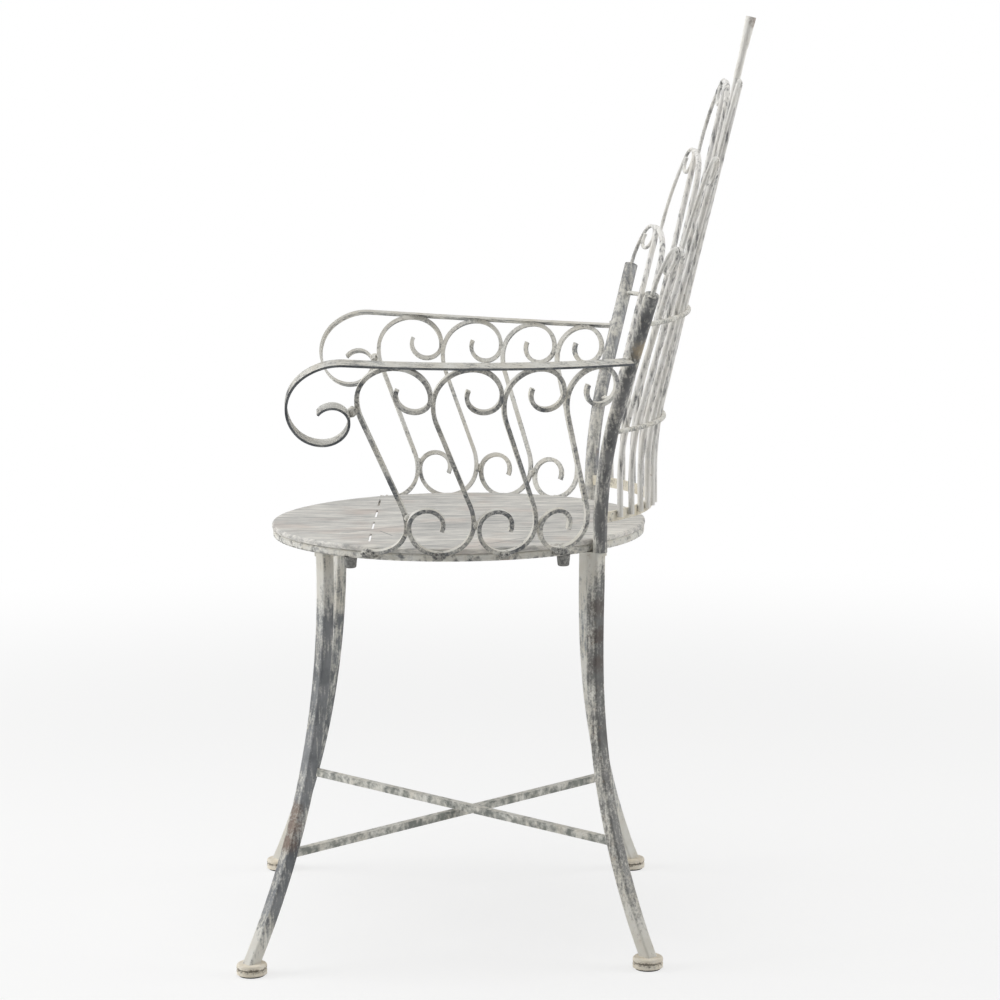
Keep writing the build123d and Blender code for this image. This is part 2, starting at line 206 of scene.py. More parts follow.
def lay_stain(tree: Tree, place: Socket, ragged: Socket, under: Socket, mark: Stain) -> Socket:
    """Lay one local stain over a colour.

    Args:
        tree: The material's nodes.
        place: Position in the row frame.
        ragged: A pattern that makes the stain's edge uneven.
        under: The colour below.
        mark: The stain.

    Returns:
        The stained colour.
    """
    reach = mark.reach_mm * MM
    away = add_node(tree, "ShaderNodeVectorMath", {0: place, 1: Vector(mark.place) * MM},
                    operation="DISTANCE")
    torn = add_node(tree, "ShaderNodeMath", {0: ragged, 1: reach, 2: away.outputs["Value"]},
                    operation="MULTIPLY_ADD")
    near = add_node(tree, "ShaderNodeMapRange", {
        "Value": torn.outputs[0], "From Min": reach * mark.core, "From Max": reach * mark.fringe,
        "To Min": mark.strength, "To Max": 0.0}, interpolation_type="SMOOTHSTEP")
    mixed = add_node(tree, "ShaderNodeMix", {
        "Factor": near.outputs[0], 6: under, 7: linear(mark.colour)}, data_type="RGBA")
    return mixed.outputs[2]


@dataclass(frozen=True)
class LimewashedIron:
    """Forged iron with a thin limewash brushed on and rubbed back.

    The wash is chalky bone white and dull. Where it is rubbed through, the iron shows slate grey with a
    little sheen, and small specks of rust bleed up through both. Faces that point along lit_way get more
    wash, as painted light from that way, and faces that point the other way get less, as painted shade.
    """

    name: str
    wash: str = "#e5e4de"
    warm_wash: str = "#d9d5ca"
    iron: str = "#757677"
    scale: str = "#4d4f51"
    rust: str = "#8c6d55"
    kept: float = 0.5
    brush: Brush = Brush.UPRIGHT
    patch_mm: float = 34.0
    # The real streaks and flecks are mostly too fine to show, so both are drawn coarser.
    streak_mm: float = 3.2
    fleck_mm: float = 2.4
    patch_share: float = 0.34
    fleck_share: float = 0.24
    edge: float = 0.1
    # Painted light and shade: faces that point along lit_way get more wash, as if lit from that way, and
    # faces pointing away get less. By default the light is from above.
    lit_way: tuple[float, float, float] = (0.0, 0.0, 1.0)
    lit_share: float = 0.06
    rust_share: float = 0.03
    bands: tuple[tuple[float, float], ...] = ()
    stains: tuple[Stain, ...] = ()
    # How lively each pattern is.
    patch_detail: float = 5.0
    patch_rough: float = 0.62
    streak_detail: float = 4.0
    fleck_detail: float = 3.0
    fleck_rough: float = 0.7
    rust_detail: float = 6.0
    rust_rough: float = 0.75
    # How far the kept share moves the wear, and the parts of a pattern that a change of colour runs over.
    kept_gain: float = 0.4
    scale_range: tuple[float, float] = (0.38, 0.66)
    warm_range: tuple[float, float] = (0.35, 0.65)
    rust_range: tuple[float, float] = (0.7, 0.78)
    rust_gain: float = 2.0
    rust_strength: float = 0.8
    rust_flecks: float = 3.5
    # How dull, metallic and raised the surface is.
    bare_dull: float = 0.52
    wash_dull: float = 0.86
    bare_metal: float = 0.3
    grit_share: float = 0.8
    bump_strength: float = 0.45
    bump_mm: float = 0.5

    def cover(self, tree: Tree, place: Socket, patch: Socket, fleck: Socket) -> Socket:
        """Work out where the wash is left.

        Args:
            tree: The material's nodes.
            place: Position in the row frame.
            patch: The broad pattern.
            fleck: The fine pattern.

        Returns:
            1 where the wash is whole, 0 where the iron is bare.
        """
        squeezed = add_node(tree, "ShaderNodeMapping", {"Vector": place, "Scale": self.brush.value})
        streak = add_node(tree, "ShaderNodeTexNoise", {
            "Vector": squeezed.outputs[0], "Scale": per_metre(self.streak_mm),
            "Detail": self.streak_detail})
        broad = add_node(tree, "ShaderNodeMath", {0: patch, 1: self.patch_share}, operation="MULTIPLY")
        drawn = add_node(tree, "ShaderNodeMath", {
            0: streak.outputs[0], 1: 1.0 - self.patch_share - self.fleck_share, 2: broad.outputs[0]},
            operation="MULTIPLY_ADD")
        wear = add_node(tree, "ShaderNodeMath", {0: fleck, 1: self.fleck_share, 2: drawn.outputs[0]},
                        operation="MULTIPLY_ADD")
        # Painted light and shade: the wash level rises on faces turned along lit_way and falls on faces
        # turned away.
        skin = add_node(tree, "ShaderNodeNewGeometry")
        facing = add_node(tree, "ShaderNodeVectorMath", {0: skin.outputs["Normal"], 1: self.lit_way},
                          operation="DOT_PRODUCT")
        lit_level = add_node(tree, "ShaderNodeMath", {
            0: facing.outputs["Value"], 1: self.lit_share, 2: wear.outputs[0]}, operation="MULTIPLY_ADD")
        level: Socket = lit_level.outputs[0]
        middle = NOISE_MIDDLE + (NOISE_MIDDLE - self.kept) * self.kept_gain
        if self.bands:
            up = add_node(tree, "ShaderNodeSeparateXYZ", {0: place})
            share = add_node(tree, "ShaderNodeMath", {0: up.outputs["Z"], 1: 1.0 / (CHAIR_TOP_MM * MM)},
                             operation="MULTIPLY")
            ramp = add_node(tree, "ShaderNodeValToRGB", {0: share.outputs[0]})
            steps = ramp.color_ramp.elements
            ready = len(steps)
            for number, (height, kept) in enumerate(self.bands):
                step = steps[number] if number < ready else steps.new(height / CHAIR_TOP_MM)
                step.position = height / CHAIR_TOP_MM
                step.color = (kept, kept, kept, 1.0)
            lift = add_node(tree, "ShaderNodeMath", {0: ramp.outputs[0], 1: self.kept_gain, 2: level},
                            operation="MULTIPLY_ADD")
            level = lift.outputs[0]
            middle = NOISE_MIDDLE + NOISE_MIDDLE * self.kept_gain
        whole = add_node(tree, "ShaderNodeMapRange", {
            "Value": level, "From Min": middle - self.edge, "From Max": middle + self.edge},
            interpolation_type="SMOOTHSTEP")
        return whole.outputs[0]

    def material(self) -> bpy.types.Material:
        """Build the material.

        Returns:
            The finished material.
        """
        material = blank_material(self.name)
        tree = material.node_tree
        place = add_node(tree, "ShaderNodeTexCoord").outputs["Object"]
        patch = add_node(tree, "ShaderNodeTexNoise", {
            "Vector": place, "Scale": per_metre(self.patch_mm), "Detail": self.patch_detail,
            "Roughness": self.patch_rough})
        fleck = add_node(tree, "ShaderNodeTexNoise", {
            "Vector": place, "Scale": per_metre(self.fleck_mm), "Detail": self.fleck_detail,
            "Roughness": self.fleck_rough})
        other = add_node(tree, "ShaderNodeSeparateColor", {0: patch.outputs["Color"]})
        cover = self.cover(tree, place, patch.outputs[0], fleck.outputs[0])

        dark = add_node(tree, "ShaderNodeMapRange", {
            "Value": other.outputs[1], "From Min": self.scale_range[0], "From Max": self.scale_range[1]})
        bare = add_node(tree, "ShaderNodeMix", {
            "Factor": dark.outputs[0], 6: linear(self.iron), 7: linear(self.scale)}, data_type="RGBA")
        aged = add_node(tree, "ShaderNodeMapRange", {
            "Value": other.outputs[2], "From Min": self.warm_range[0], "From Max": self.warm_range[1]})
        chalk = add_node(tree, "ShaderNodeMix", {
            "Factor": aged.outputs[0], 6: linear(self.wash), 7: linear(self.warm_wash)}, data_type="RGBA")
        washed = add_node(tree, "ShaderNodeMix", {
            "Factor": cover, 6: bare.outputs[2], 7: chalk.outputs[2]}, data_type="RGBA")

        rusted = add_node(tree, "ShaderNodeTexNoise", {
            "Vector": place, "Scale": per_metre(self.fleck_mm * self.rust_flecks),
            "Detail": self.rust_detail, "Roughness": self.rust_rough})
        specks = add_node(tree, "ShaderNodeMapRange", {
            "Value": rusted.outputs[0], "From Min": self.rust_range[0] - self.rust_share * self.rust_gain,
            "From Max": self.rust_range[1], "To Max": self.rust_strength})
        bled = add_node(tree, "ShaderNodeMix", {
            "Factor": specks.outputs[0], 6: washed.outputs[2], 7: linear(self.rust)}, data_type="RGBA")
        colour = bled.outputs[2]
        for mark in self.stains:
            colour = lay_stain(tree, place, fleck.outputs[0], colour, mark)

        dull = add_node(tree, "ShaderNodeMapRange", {
            "Value": cover, "To Min": self.bare_dull, "To Max": self.wash_dull})
        metal = add_node(tree, "ShaderNodeMapRange", {
            "Value": cover, "To Min": self.bare_metal, "To Max": 0.0})
        grit = add_node(tree, "ShaderNodeMath", {0: fleck.outputs[0], 1: self.grit_share, 2: cover},
                        operation="MULTIPLY_ADD")
        bump = add_node(tree, "ShaderNodeBump", {
            "Height": grit.outputs[0], "Strength": self.bump_strength, "Distance": self.bump_mm * MM})
        shader = add_node(tree, "ShaderNodeBsdfPrincipled", {
            "Base Color": colour, "Roughness": dull.outputs[0], "Metallic": metal.outputs[0],
            "Normal": bump.outputs[0]})
        add_node(tree, "ShaderNodeOutputMaterial", {"Surface": shader.outputs[0]})
        return material


@dataclass(frozen=True)
class Score:
    """A thin line scored in the seat: its ends across and along the seat in mm, and its width.

    It is at its darkest out to its core, a share of its width.
    """

    start: tuple[float, float]
    end: tuple[float, float]
    width_mm: float = 1.3
    core: float = 0.3
    strength: float = 0.75


@dataclass(frozen=True)
class BrushedSeatSheet:
    """Mild steel sheet with limewash dragged over it by a coarse brush.

    The brush leaves long pale and grey streaks from front to back, with cloudy patches where the wash is
    thin, a blush of old primer here and there, and a few scored lines.
    """

    name: str
    wash: str = "#ebe8e1"
    thin: str = "#808181"
    steel: str = "#74777a"
    blush: str = "#c0ab9f"
    stroke_mm: float = 12.0
    # The real marks of single bristles and the grit are too fine to show, so both are drawn coarser.
    bristle_mm: float = 4.6
    grit_mm: float = 2.2
    bristle_turn: float = 0.3
    stroke_turn: float = -0.12
    cloud_mm: float = 70.0
    scores: tuple[Score, ...] = ()
    stains: tuple[Stain, ...] = ()
    middle_mm: tuple[float, float] = (0.0, 0.0)
    # How lively each pattern is.
    stroke_detail: float = 7.0
    stroke_rough: float = 0.7
    stroke_bend: float = 0.5
    bristle_detail: float = 6.0
    bristle_rough: float = 0.8
    cloud_detail: float = 4.0
    cloud_rough: float = 0.55
    grit_detail: float = 3.0
    # What each pattern adds to the cover, and the parts of a pattern that a change of colour runs over.
    cloud_share: float = 0.18
    stroke_share: float = 0.3
    bristle_share: float = 0.52
    cover_range: tuple[float, float] = (0.37, 0.6)
    scuff_range: tuple[float, float] = (0.38, 0.26)
    scuff_strength: float = 0.4
    blush_range: tuple[float, float] = (0.54, 0.7)
    blush_strength: float = 0.35
    # How dull and raised the surface is.
    thin_dull: float = 0.55
    wash_dull: float = 0.8
    grit_share: float = 0.4
    bump_strength: float = 0.35
    bump_mm: float = 0.6

    def scored(self, tree: Tree, place: Socket, under: Socket, line: Score) -> Socket:
        """Darken one scored line.

        Args:
            tree: The material's nodes.
            place: Position in the row frame.
            under: The colour below.
            line: The line.

        Returns:
            The colour with the line in it.
        """
        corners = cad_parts["seat_panel"].data.vertices
        start = Vector((line.start[0] + self.middle_mm[0], line.start[1] + self.middle_mm[1], 0)) * MM
        along = Vector((line.end[0] + self.middle_mm[0], line.end[1] + self.middle_mm[1], 0)) * MM - start
        start.z = max(corner.co.z for corner in corners)
        off = add_node(tree, "ShaderNodeVectorMath", {0: place, 1: start}, operation="SUBTRACT")
        reach = add_node(tree, "ShaderNodeVectorMath", {0: off.outputs[0], 1: along / along.length_squared},
                         operation="DOT_PRODUCT")
        share = add_node(tree, "ShaderNodeClamp", {0: reach.outputs["Value"]})
        foot = add_node(tree, "ShaderNodeVectorMath", {0: along, "Scale": share.outputs[0]},
                        operation="SCALE")
        gap = add_node(tree, "ShaderNodeVectorMath", {0: off.outputs[0], 1: foot.outputs[0]},
                       operation="DISTANCE")
        near = add_node(tree, "ShaderNodeMapRange", {
            "Value": gap.outputs["Value"], "From Min": line.width_mm * MM * line.core,
            "From Max": line.width_mm * MM, "To Min": line.strength, "To Max": 0.0})
        mixed = add_node(tree, "ShaderNodeMix", {
            "Factor": near.outputs[0], 6: under, 7: linear(self.steel)}, data_type="RGBA")
        return mixed.outputs[2]

    def material(self) -> bpy.types.Material:
        """Build the material.

        Returns:
            The finished material.
        """
        material = blank_material(self.name)
        tree = material.node_tree
        place = add_node(tree, "ShaderNodeTexCoord").outputs["Object"]
        squeezed = add_node(tree, "ShaderNodeMapping", {
            "Vector": place, "Scale": Brush.LOOSE_SWEEP.value, "Rotation": (0.0, 0.0, self.stroke_turn)})
        stroke = add_node(tree, "ShaderNodeTexNoise", {
            "Vector": squeezed.outputs[0], "Scale": per_metre(self.stroke_mm),
            "Detail": self.stroke_detail, "Roughness": self.stroke_rough, "Distortion": self.stroke_bend})
        combed = add_node(tree, "ShaderNodeMapping", {
            "Vector": place, "Scale": Brush.COMBED.value, "Rotation": (0.0, 0.0, self.bristle_turn)})
        bristle = add_node(tree, "ShaderNodeTexNoise", {
            "Vector": combed.outputs[0], "Scale": per_metre(self.bristle_mm),
            "Detail": self.bristle_detail, "Roughness": self.bristle_rough})
        cloud = add_node(tree, "ShaderNodeTexNoise", {
            "Vector": place, "Scale": per_metre(self.cloud_mm), "Detail": self.cloud_detail,
            "Roughness": self.cloud_rough})
        grit = add_node(tree, "ShaderNodeTexNoise", {
            "Vector": place, "Scale": per_metre(self.grit_mm), "Detail": self.grit_detail})
        other = add_node(tree, "ShaderNodeSeparateColor", {0: cloud.outputs["Color"]})
        broad = add_node(tree, "ShaderNodeMath", {0: cloud.outputs[0], 1: self.cloud_share},
                         operation="MULTIPLY")
        swept = add_node(tree, "ShaderNodeMath", {
            0: stroke.outputs[0], 1: self.stroke_share, 2: broad.outputs[0]}, operation="MULTIPLY_ADD")
        laid = add_node(tree, "ShaderNodeMath", {
            0: bristle.outputs[0], 1: self.bristle_share, 2: swept.outputs[0]}, operation="MULTIPLY_ADD")
        cover = add_node(tree, "ShaderNodeMapRange", {
            "Value": laid.outputs[0], "From Min": self.cover_range[0], "From Max": self.cover_range[1]})
        washed = add_node(tree, "ShaderNodeMix", {
            "Factor": cover.outputs[0], 6: linear(self.thin), 7: linear(self.wash)}, data_type="RGBA")
        scuff = add_node(tree, "ShaderNodeMapRange", {
            "Value": stroke.outputs[0], "From Min": self.scuff_range[0], "From Max": self.scuff_range[1],
            "To Max": self.scuff_strength})
        worn = add_node(tree, "ShaderNodeMix", {
            "Factor": scuff.outputs[0], 6: washed.outputs[2], 7: linear(self.steel)}, data_type="RGBA")
        warm = add_node(tree, "ShaderNodeMapRange", {
            "Value": other.outputs[1], "From Min": self.blush_range[0], "From Max": self.blush_range[1],
            "To Max": self.blush_strength})
        tinted = add_node(tree, "ShaderNodeMix", {
            "Factor": warm.outputs[0], 6: worn.outputs[2], 7: linear(self.blush)}, data_type="RGBA")
        colour = tinted.outputs[2]
        for mark in self.stains:
            colour = lay_stain(tree, place, stroke.outputs[0], colour, mark)
        for line in self.scores:
            colour = self.scored(tree, place, colour, line)
        rough = add_node(tree, "ShaderNodeMapRange", {
            "Value": cover.outputs[0], "To Min": self.thin_dull, "To Max": self.wash_dull})
        raised = add_node(tree, "ShaderNodeMath", {
            0: grit.outputs[0], 1: self.grit_share, 2: bristle.outputs[0]}, operation="MULTIPLY_ADD")
        bump = add_node(tree, "ShaderNodeBump", {
            "Height": raised.outputs[0], "Strength": self.bump_strength, "Distance": self.bump_mm * MM})
        shader = add_node(tree, "ShaderNodeBsdfPrincipled", {
            "Base Color": colour, "Roughness": rough.outputs[0], "Normal": bump.outputs[0]})
        add_node(tree, "ShaderNodeOutputMaterial", {"Surface": shader.outputs[0]})
        return material


@dataclass(frozen=True)
class BlackenedIron:
    """Forged iron left dark from the fire, with a dusting of wash.

    The scale is dark grey and dull, with pale dust in its pits.
    """

    name: str
    scale: str = "#646463"
    worn: str = "#8c8c88"
    dust: str = "#b9b7b0"
    # The real pits are too fine to show, so they are drawn coarser.
    pit_mm: float = 3.0
    pit_detail: float = 5.0
    pit_rough: float = 0.65
    worn_range: tuple[float, float] = (0.42, 0.6)
    dust_range: tuple[float, float] = (0.54, 0.68)
    dust_strength: float = 0.75
    iron_dull: float = 0.55
    dust_dull: float = 0.85
    metallic: float = 0.3
    bump_strength: float = 0.5
    bump_mm: float = 0.5

    def material(self) -> bpy.types.Material:
        """Build the material.

        Returns:
            The finished material.
        """
        material = blank_material(self.name)
        tree = material.node_tree
        place = add_node(tree, "ShaderNodeTexCoord").outputs["Object"]
        pit = add_node(tree, "ShaderNodeTexNoise", {
            "Vector": place, "Scale": per_metre(self.pit_mm), "Detail": self.pit_detail,
            "Roughness": self.pit_rough})
        other = add_node(tree, "ShaderNodeSeparateColor", {0: pit.outputs["Color"]})
        rubbed = add_node(tree, "ShaderNodeMapRange", {
            "Value": pit.outputs[0], "From Min": self.worn_range[0], "From Max": self.worn_range[1]})
        metal = add_node(tree, "ShaderNodeMix", {
            "Factor": rubbed.outputs[0], 6: linear(self.scale), 7: linear(self.worn)}, data_type="RGBA")
        dusty = add_node(tree, "ShaderNodeMapRange", {
            "Value": other.outputs[1], "From Min": self.dust_range[0], "From Max": self.dust_range[1],
            "To Max": self.dust_strength})
        dusted = add_node(tree, "ShaderNodeMix", {
            "Factor": dusty.outputs[0], 6: metal.outputs[2], 7: linear(self.dust)}, data_type="RGBA")
        dull = add_node(tree, "ShaderNodeMapRange", {
            "Value": dusty.outputs[0], "To Min": self.iron_dull, "To Max": self.dust_dull})
        bump = add_node(tree, "ShaderNodeBump", {
            "Height": pit.outputs[0], "Strength": self.bump_strength, "Distance": self.bump_mm * MM})
        shader = add_node(tree, "ShaderNodeBsdfPrincipled", {
            "Base Color": dusted.outputs[2], "Roughness": dull.outputs[0], "Metallic": self.metallic,
            "Normal": bump.outputs[0]})
        add_node(tree, "ShaderNodeOutputMaterial", {"Surface": shader.outputs[0]})
        return material


@dataclass(frozen=True)
class MouldedRubber:
    """Moulded black rubber, matt, with a fine grain and grey scuffs from the ground."""

    name: str
    rubber: str = "#2f2f2f"
    scuff: str = "#6a6862"
    # The real grain is too fine to show, so it is drawn coarser.
    grain_mm: float = 2.0
    grain_detail: float = 4.0
    scuff_range: tuple[float, float] = (0.5, 0.68)
    dull: float = 0.88
    index: float = 1.52
    bump_strength: float = 0.3
    bump_mm: float = 0.3

    def material(self) -> bpy.types.Material:
        """Build the material.

        Returns:
            The finished material.
        """
        material = blank_material(self.name)
        tree = material.node_tree
        place = add_node(tree, "ShaderNodeTexCoord").outputs["Object"]
        grain = add_node(tree, "ShaderNodeTexNoise", {
            "Vector": place, "Scale": per_metre(self.grain_mm), "Detail": self.grain_detail})
        scuffed = add_node(tree, "ShaderNodeMapRange", {
            "Value": grain.outputs[0], "From Min": self.scuff_range[0], "From Max": self.scuff_range[1]})
        colour = add_node(tree, "ShaderNodeMix", {
            "Factor": scuffed.outputs[0], 6: linear(self.rubber), 7: linear(self.scuff)}, data_type="RGBA")
        bump = add_node(tree, "ShaderNodeBump", {
            "Height": grain.outputs[0], "Strength": self.bump_strength, "Distance": self.bump_mm * MM})
        shader = add_node(tree, "ShaderNodeBsdfPrincipled", {
            "Base Color": colour.outputs[2], "Roughness": self.dull, "IOR": self.index,
            "Normal": bump.outputs[0]})
        add_node(tree, "ShaderNodeOutputMaterial", {"Surface": shader.outputs[0]})
        return material


@dataclass(frozen=True)
class Meeting:
    """Two nodes that are welded together, looked for no higher than a height in mm."""

    first: str
    second: str
    below_mm: float = CHAIR_TOP_MM


@dataclass
class WeldRow:
    """Lumps of weld metal, one where each two pieces of iron meet."""

    name: str
    meetings: list[Meeting]
    radius_mm: float = 3.2
    drops: int = 3
    lump: float = 0.28
    slot: str = "worn_whitewash"
    # How the meeting is searched for.
    step_share: float = 0.5
    search_radii: float = 3.0
    touch_mm: float = 0.3
    patch_mm: float = 9.0
    run_mm: float = 0.2
    # How the drops are shaped and set.
    rounds: int = 3
    lump_scale: float = 1.7
    lump_drift: float = 900.0
    bridge_share: float = 0.62
    taper: float = 0.14
    wobble: float = 0.12
    wobble_turn: float = 2.3
    spread: float = 0.8

    def points(self, node: str) -> list[Vector]:
        """List points along the edges of a node.

        Args:
            node: The CAD node.

        Returns:
            Points no further apart than the step share of the weld's radius.
        """
        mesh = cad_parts[node].data
        made = []
        for edge in mesh.edges:
            start, end = (mesh.vertices[number].co for number in edge.vertices)
            steps = math.ceil((end - start).length / (self.radius_mm * MM * self.step_share)) or 1
            made += [start.lerp(end, step / steps) for step in range(steps)]
        return made

    def meeting_point(self, pair: Meeting) -> tuple[Vector, Vector, float]:
        """Find where two nodes touch, or come nearest.

        Args:
            pair: The two nodes.

        Returns:
            The middle of the touching patch, the way that it runs and the gap that the weld fills.
        """
        view = bpy.context.evaluated_depsgraph_get()
        shell = BVHTree.FromObject(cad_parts[pair.second], view)
        low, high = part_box(pair.second)
        spare = self.search_radii * self.radius_mm * MM
        found = []
        for point in self.points(pair.first):
            if point.z < pair.below_mm * MM and all(
                    low[axis] - spare < point[axis] < high[axis] + spare for axis in range(3)):
                place, _, _, gap = shell.find_nearest(point)
                if place.z < pair.below_mm * MM:
                    found.append((gap, (point + place) / 2))
        found.sort(key=lambda item: item[0])
        nearest = found[0]
        patch = [place for gap, place in found
                 if gap < nearest[0] + self.touch_mm * MM
                 and (place - nearest[1]).length < self.patch_mm * MM]
        middle = sum(patch, Vector()) / len(patch)
        far = max(patch, key=lambda place: (place - middle).length) - middle
        run = far.normalized() if far.length > self.run_mm * MM else UP
        return middle, run, nearest[0]

    def drop(self, mesh: bmesh.types.BMesh, middle: Vector, radius: float) -> None:
        """Add one lumpy drop of weld metal.

        Args:
            mesh: The mesh that takes it.
            middle: Its middle.
            radius: Its mean radius in metres.
        """
        made = bmesh.ops.create_icosphere(mesh, subdivisions=self.rounds, radius=1.0)
        for vertex in made["verts"]:
            way = vertex.co.normalized()
            swell = 1.0 + self.lump * noise.noise(way * self.lump_scale + middle * self.lump_drift)
            vertex.co = middle + way * radius * swell

    def build(self, material: bpy.types.Material) -> None:
        """Build the row of welds and set it on the chair.

        Args:
            material: The finish that it wears.
        """
        mesh = bmesh.new()
        for number, pair in enumerate(self.meetings):
            middle, run, gap = self.meeting_point(pair)
            log.info("%s to %s: gap of %.2f mm", pair.first, pair.second, gap / MM)
            full = max(self.radius_mm * MM, gap * self.bridge_share)
            drops = self.drops if gap < self.radius_mm * MM else 1
            for step in range(drops):
                share = step - (drops - 1) / 2
                sway = self.wobble * math.sin(number * self.wobble_turn + step)
                radius = full * (1.0 - self.taper * abs(share) + sway)
                self.drop(mesh, middle + run * share * full * self.spread, radius)
        data = bpy.data.meshes.new(self.name)
        mesh.to_mesh(data)
        mesh.free()
        for face in data.polygons:
            face.use_smooth = True
        piece = bpy.data.objects.new(self.name, data)
        bpy.context.scene.collection.objects.link(piece)
        data.materials.append(material)
        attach(piece, "root")
        log.info("%s has %d welds", self.name, len(self.meetings))


@dataclass
class Seat:
    """The round seat sheet, its hoop and its fixings."""

    middle_mm: tuple[float, float] = (0.0, -44.6)
    scores: tuple[Score, ...] = (
        Score((93.2, -123.1), (18.7, -20.1)),
        Score((184.8, 23.4), (128.7, 78.8)),
        Score((81.8, -83.0), (113.4, -69.1)),
    )
    blushes: tuple[Stain, ...] = (
        Stain((74.0, -118.0, 450.0), 40.0, "#bda79b", 0.35),
        Stain((178.0, -133.0, 450.0), 16.0, "#dcd8cf", 0.6),
        Stain((-60.0, -150.0, 450.0), 34.0, "#bfaa9e", 0.35),
    )
    rust_mark: Stain = Stain((196.0, 5.0, 440.0), 9.0, "#a07058")

    def dress(self) -> None:
        """Paint the sheet, the hoop, the studs and the nuts."""
        sheet = BrushedSeatSheet("limewash_dragged_on_seat_steel", scores=self.scores, stains=self.blushes,
                                 middle_mm=self.middle_mm)
        hoop = LimewashedIron("limewash_rubbed_on_seat_hoop", kept=0.66, brush=Brush.ALL_WAYS, patch_mm=14.0,
                              streak_mm=6.0, fleck_share=0.14, stains=(self.rust_mark,))
        nuts = BlackenedIron("fire_blackened_cap_nuts")
        paint(["seat_panel"], sheet.material())
        paint(["seat_hoop"], hoop.material())
        paint(["seat_cap_nuts", "seat_studs"], nuts.material())


@dataclass
class Legs:
    """The four legs, their feet and the crossed stretchers."""

    front_bands: tuple[tuple[float, float], ...] = (
        (0.0, 0.97), (36.0, 0.92), (56.0, 0.47), (105.0, 0.36), (125.0, 0.54), (165.0, 0.54), (195.0, 0.38),
        (290.0, 0.42), (375.0, 0.46), (396.0, 0.74), (432.0, 0.9))
    rear_bands: tuple[tuple[float, float], ...] = (
        (0.0, 0.97), (40.0, 0.85), (80.0, 0.58), (200.0, 0.5), (280.0, 0.42), (330.0, 0.36), (390.0, 0.42),
        (414.0, 0.8), (440.0, 0.9))
    far_bands: tuple[tuple[float, float], ...] = (
        (0.0, 0.97), (50.0, 0.9), (90.0, 0.5), (150.0, 0.45), (230.0, 0.52), (330.0, 0.5), (400.0, 0.75),
        (440.0, 0.9))
    far_front_bands: tuple[tuple[float, float], ...] = (
        (0.0, 0.97), (50.0, 0.8), (90.0, 0.34), (150.0, 0.3), (230.0, 0.38), (330.0, 0.4), (400.0, 0.7),
        (440.0, 0.9))
    # Wash kept on the feet by height: less at the very bottom, and none at 7.5 mm, which is a painted shade
    # line in the foot's groove.
    foot_wash_and_groove_shade: tuple[tuple[float, float], ...] = (
        (0.0, 0.6), (3.0, 0.9), (6.4, 0.88), (7.5, 0.0), (8.4, 0.88), (20.0, 0.92))
    brown_marks: StainRow = StainRow(
        "leg_front_left", (132.0, 150.0, 166.0), (5.0, -5.0, 0.0), 17.0, "#6d5443")
    dark_marks: StainRow = StainRow(
        "leg_rear_left", (318.0, 348.0, 378.0), (6.0, 4.0, 0.0), 17.0, "#4d443e")

    def dress(self) -> None:
        """Paint the legs, feet, glides and stretchers."""
        # Each leg's lit_way paints light and shade: paler on its inner and front faces, darker on its outer
        # and rear faces.
        front = LimewashedIron("limewash_rubbed_on_front_leg", iron="#7b7d7f", scale="#55585b",
                               lit_way=(-1.0, -0.5, 0.0), lit_share=0.07, bands=self.front_bands,
                               stains=self.brown_marks.marks())
        rear = LimewashedIron("limewash_rubbed_on_rear_leg", iron="#7b7b79", scale="#545453", fleck_mm=2.8,
                              fleck_share=0.34, rust_share=0.06, lit_way=(-0.8, -0.7, 0.0),
                              lit_share=0.07, bands=self.rear_bands, stains=self.dark_marks.marks())
        far_front = LimewashedIron("limewash_rubbed_on_far_front_leg", iron="#7d8082", scale="#585b5e",
                                   lit_way=(0.6, -0.5, 0.0), bands=self.far_front_bands)
        far = LimewashedIron("limewash_rubbed_on_far_rear_leg", iron="#80868c", scale="#5c6269",
                             lit_way=(0.6, -0.5, 0.0), bands=self.far_bands)
        feet = LimewashedIron("cream_limewash_on_turned_feet", wash="#f0eadd", warm_wash="#e3d8c4",
                              iron="#7d766a", scale="#5b544b", brush=Brush.ALL_WAYS, patch_mm=12.0,
                              bands=self.foot_wash_and_groove_shade)
        bars = LimewashedIron("limewash_rubbed_on_stretchers", iron="#83867f", scale="#666a68", kept=0.5,
                              brush=Brush.ALL_WAYS, patch_mm=26.0, streak_mm=7.0, patch_share=0.5,
                              fleck_share=0.12)
        rubber = MouldedRubber("moulded_black_rubber_glides")
        paint(["leg_front_left"], front.material())
        paint(["leg_rear_left"], rear.material())
        paint(["leg_front_right"], far_front.material())
        paint(["leg_rear_right"], far.material())
        paint([f"foot_{end}_{side.value}" for end in ("front", "rear") for side in Side], feet.material())
        bars_material = bars.material()
        paint(["stretcher_lower", "stretcher_upper"], bars_material)
        paint(["foot_glides"], rubber.material())
        meetings = [Meeting("stretcher_lower", "leg_front_left"),
                    Meeting("stretcher_lower", "leg_rear_right"),
                    Meeting("stretcher_upper", "leg_front_right"),
                    Meeting("stretcher_upper", "leg_rear_left"),
                    Meeting("stretcher_upper", "stretcher_lower")]
        WeldRow("welds_stretchers", meetings, slot="leg_whitewash").build(bars_material)


